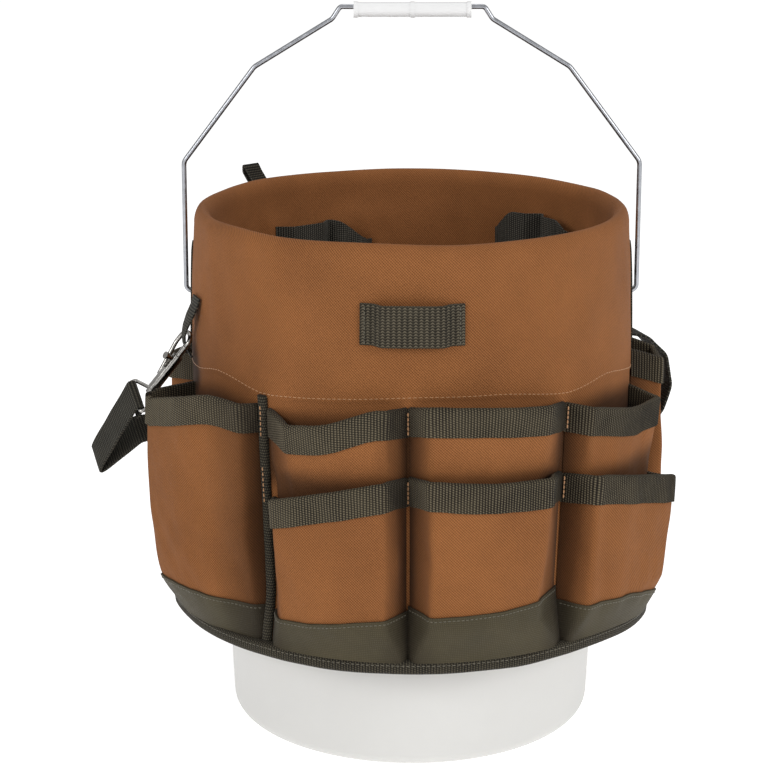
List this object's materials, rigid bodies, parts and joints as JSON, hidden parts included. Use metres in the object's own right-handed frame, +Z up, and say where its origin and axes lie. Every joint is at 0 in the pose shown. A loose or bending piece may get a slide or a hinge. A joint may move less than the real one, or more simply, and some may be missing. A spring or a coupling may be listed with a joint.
{
  "type": "tool bucket organizer",
  "caption": "Cloth tool organizer with rows of pleated pockets, webbing trims, hanging loops and a snap strap, draped over the rim of a plastic bucket with a wire bail and tube grip.",
  "frame": {"origin": "centre of the bucket's foot ring, where the bucket stands on the floor", "axes": "+Z up along the bucket's axis, +X towards the hammer loop side through the bail's right ear, -Y towards the front pocket panel"},
  "size_m": [0.4244, 0.3723, 0.5146],
  "materials": {
    "bucket_plastic": "satin",
    "grip_plastic": "satin",
    "bail_steel": "satin",
    "snap_nickel": "gloss",
    "brown_cloth": "matte",
    "olive_webbing": "matte",
    "coarse_nylon": "matte",
    "dark_binding": "matte",
    "dark_webbing": "matte"
  },
  "bodies": {
    "organizer": {"back_strap": "dark_webbing", "base_0": "coarse_nylon", "base_1": "coarse_nylon", "base_2": "coarse_nylon", "base_3": "coarse_nylon", "base_4": "coarse_nylon", "base_5": "coarse_nylon", "base_6": "coarse_nylon", "base_7": "coarse_nylon", "base_8": "coarse_nylon", "bucket": "bucket_plastic", "divider_back": "olive_webbing", "divider_front": "olive_webbing", "front_loop": "olive_webbing", "hammer_loop": "dark_webbing", "hem_binding": "dark_binding", "inner_loop_left": "dark_webbing", "inner_loop_right": "dark_webbing", "inner_skirt": "brown_cloth", "outer_skirt": "brown_cloth", "pocket_0_tall": "brown_cloth", "pocket_1_lower": "brown_cloth", "pocket_1_upper": "brown_cloth", "pocket_2_lower": "brown_cloth", "pocket_2_upper": "brown_cloth", "pocket_3_lower": "brown_cloth", "pocket_3_upper": "brown_cloth", "pocket_4_narrow": "brown_cloth", "pocket_5_lower": "brown_cloth", "pocket_5_upper": "brown_cloth", "pocket_6_lower": "brown_cloth", "pocket_6_upper": "brown_cloth", "pocket_7_lower": "brown_cloth", "pocket_7_upper": "brown_cloth", "pocket_8_tall": "brown_cloth", "slit_binding_left": "dark_binding", "slit_binding_right": "dark_binding", "snap_eye": "snap_nickel", "snap_tab": "dark_webbing", "tape_strap": "olive_webbing", "trim_0_tall": "olive_webbing", "trim_1_lower": "olive_webbing", "trim_1_upper": "olive_webbing", "trim_2_lower": "olive_webbing", "trim_2_upper": "olive_webbing", "trim_3_lower": "olive_webbing", "trim_3_upper": "olive_webbing", "trim_4_narrow": "olive_webbing", "trim_5_lower": "olive_webbing", "trim_5_upper": "olive_webbing", "trim_6_lower": "olive_webbing", "trim_6_upper": "olive_webbing", "trim_7_lower": "olive_webbing", "trim_7_upper": "olive_webbing", "trim_8_tall": "olive_webbing"},
    "bail": {"bail_wire": "bail_steel"},
    "grip": {"grip": "grip_plastic"},
    "snap": {"snap_body": "snap_nickel"},
    "bolt": {"snap_bolt": "snap_nickel"}
  },
  "joints": [
    {"name": "bail_hinge", "type": "hinge", "parent": "organizer", "child": "bail", "pos_m": [0, 0, 0.31], "axis": [1, 0, 0], "range_deg": [-105, 82]},
    {"name": "grip_roll", "type": "hinge", "parent": "bail", "child": "grip", "pos_m": [0, 0, 0.50895], "axis": [1, 0, 0], "continuous": true},
    {"name": "snap_swivel", "type": "hinge", "parent": "organizer", "child": "snap", "pos_m": [-0.15333, -0.03889, 0.28569], "axis": [-0.6198, 0, -0.7848], "range_deg": [0, 14]},
    {"name": "bolt_slide", "type": "slide", "parent": "snap", "child": "bolt", "axis": [-0.6198, 0, -0.7848], "range_m": [0, 0.006], "stiffness_N_per_m": 120, "springref_m": -0.002}
  ]
}
